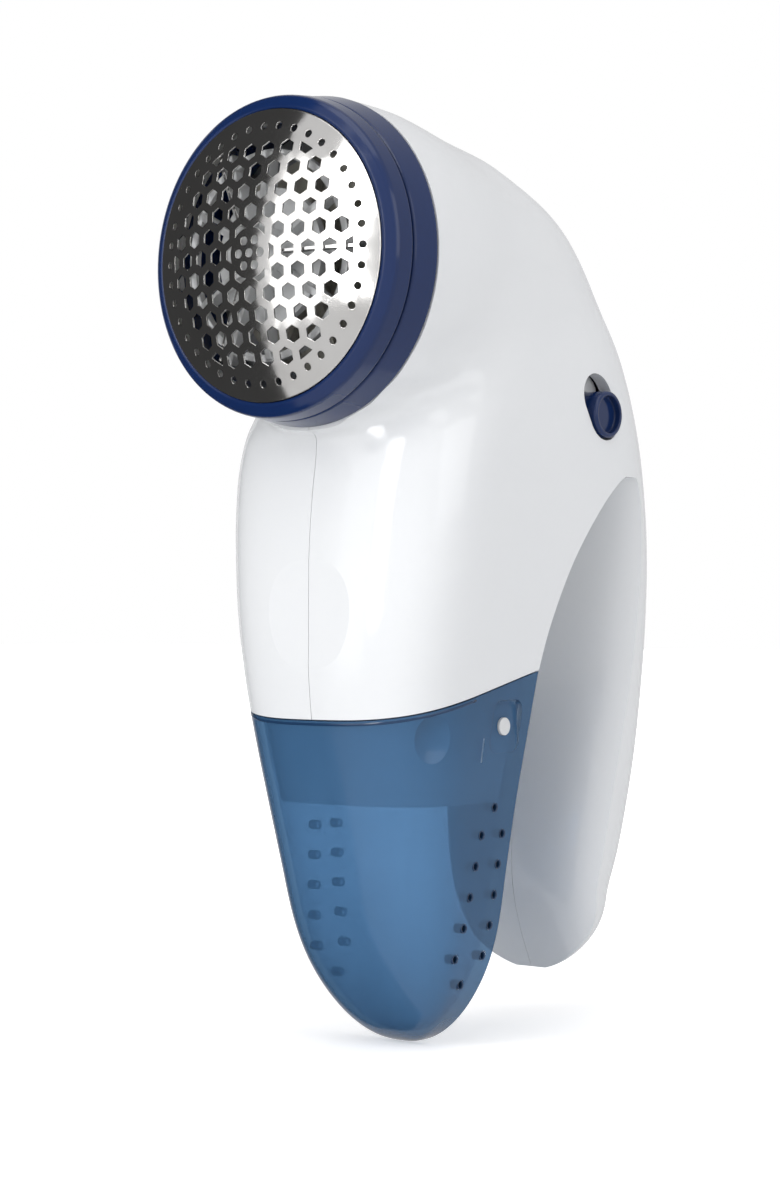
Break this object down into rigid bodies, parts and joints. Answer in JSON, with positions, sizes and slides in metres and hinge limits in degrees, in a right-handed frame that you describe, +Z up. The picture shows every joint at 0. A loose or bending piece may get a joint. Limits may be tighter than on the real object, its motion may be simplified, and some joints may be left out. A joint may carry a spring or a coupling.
{
  "type": "fabric shaver",
  "caption": "Battery fabric shaver with a domed perforated steel foil, screw ring, angled white body, finger handle and translucent lint box.",
  "frame": {"origin": "on the floor plane under the lowest point of the lint box, centred across the width and on the overall depth", "axes": "+Z up along the height, -Y the way the foil faces, +X the switch side"},
  "size_m": [0.0566, 0.0979, 0.1643],
  "materials": {
    "white_body": "glossy white moulded plastic",
    "white_plastic": "plain white plastic",
    "navy_plastic": "glossy dark navy plastic",
    "blue_box": "clear tinted blue plastic",
    "foil_steel": "polished perforated steel",
    "blade_steel": "ground steel",
    "screw_steel": "zinc plated steel",
    "spring_steel": "drawn steel",
    "motor_steel": "pressed steel can",
    "contact_metal": "plated brass",
    "dark_plastic": "black plastic",
    "fan_plastic": "grey plastic",
    "inner_plastic": "pale grey plastic",
    "cell_jacket": null,
    "wire_red": "red insulation",
    "wire_black": "black insulation"
  },
  "bodies": {
    "housing": {"shell_switch_side": "white_body", "shell_screw_side": "white_body", "shell_screws": "screw_steel", "collar_ring": "navy_plastic", "motor_can": "motor_steel", "motor_end_cap": "dark_plastic", "motor_terminals": "contact_metal", "motor_cradle": "inner_plastic", "air_guide": "inner_plastic", "cell_a": "cell_jacket", "cell_b": "cell_jacket", "cell_tray_low": "inner_plastic", "cell_tray_top": "inner_plastic", "contact_springs": "spring_steel", "contact_bridge": "contact_metal", "contact_plates": "contact_metal", "switch_body": "dark_plastic", "switch_terminals": "contact_metal", "wire_a": "wire_red", "wire_b": "wire_black", "wire_c": "wire_red"},
    "lint_box": {"lint_box": "blue_box", "latch_dots": "white_plastic"},
    "foil_unit": {"foil": "foil_steel", "foil_clamp": "white_plastic"},
    "screw_ring": {"foil_ring": "navy_plastic"},
    "rotor": {"motor_shaft": "spring_steel", "fan": "fan_plastic", "drive_sleeve": "white_plastic", "cutter_spring": "spring_steel"},
    "cutter": {"cutter_hub": "white_plastic", "blade_1": "blade_steel", "blade_2": "blade_steel", "blade_3": "blade_steel"},
    "door": {"battery_door": "white_body"},
    "button": {"switch_button": "navy_plastic", "switch_slide": "white_plastic"}
  },
  "joints": [
    {"name": "lint_box_slide", "type": "slide", "parent": "housing", "child": "lint_box", "axis": [0, 0, -1], "range_m": [0, 0.035]},
    {"name": "ring_turn", "type": "hinge", "parent": "foil_unit", "child": "screw_ring", "pos_m": [0, -0.041, 0.136], "axis": [0, -1, 0], "range_deg": [0, 360]},
    {"name": "foil_lift", "type": "slide", "parent": "housing", "child": "foil_unit", "axis": [0, -1, 0], "range_m": [0, 0.004]},
    {"name": "rotor_spin", "type": "hinge", "parent": "housing", "child": "rotor", "pos_m": [0, -0.019, 0.136], "axis": [0, 1, 0], "continuous": true},
    {"name": "cutter_float", "type": "slide", "parent": "rotor", "child": "cutter", "axis": [0, 1, 0], "range_m": [0, 0.0008], "stiffness_N_per_m": 200, "springref_m": -0.001, "deforming": ["cutter_spring"]},
    {"name": "door_lift", "type": "slide", "parent": "housing", "child": "door", "axis": [0, 1, 0], "range_m": [0, 0.015]},
    {"name": "button_slide", "type": "slide", "parent": "housing", "child": "button", "axis": [0, -0.42, 0.9075], "range_m": [0, 0.003]}
  ],
  "couplings": [
    {"joint": "ring_turn", "follows": "foil_lift", "rad_per_m": 1570.8}
  ]
}
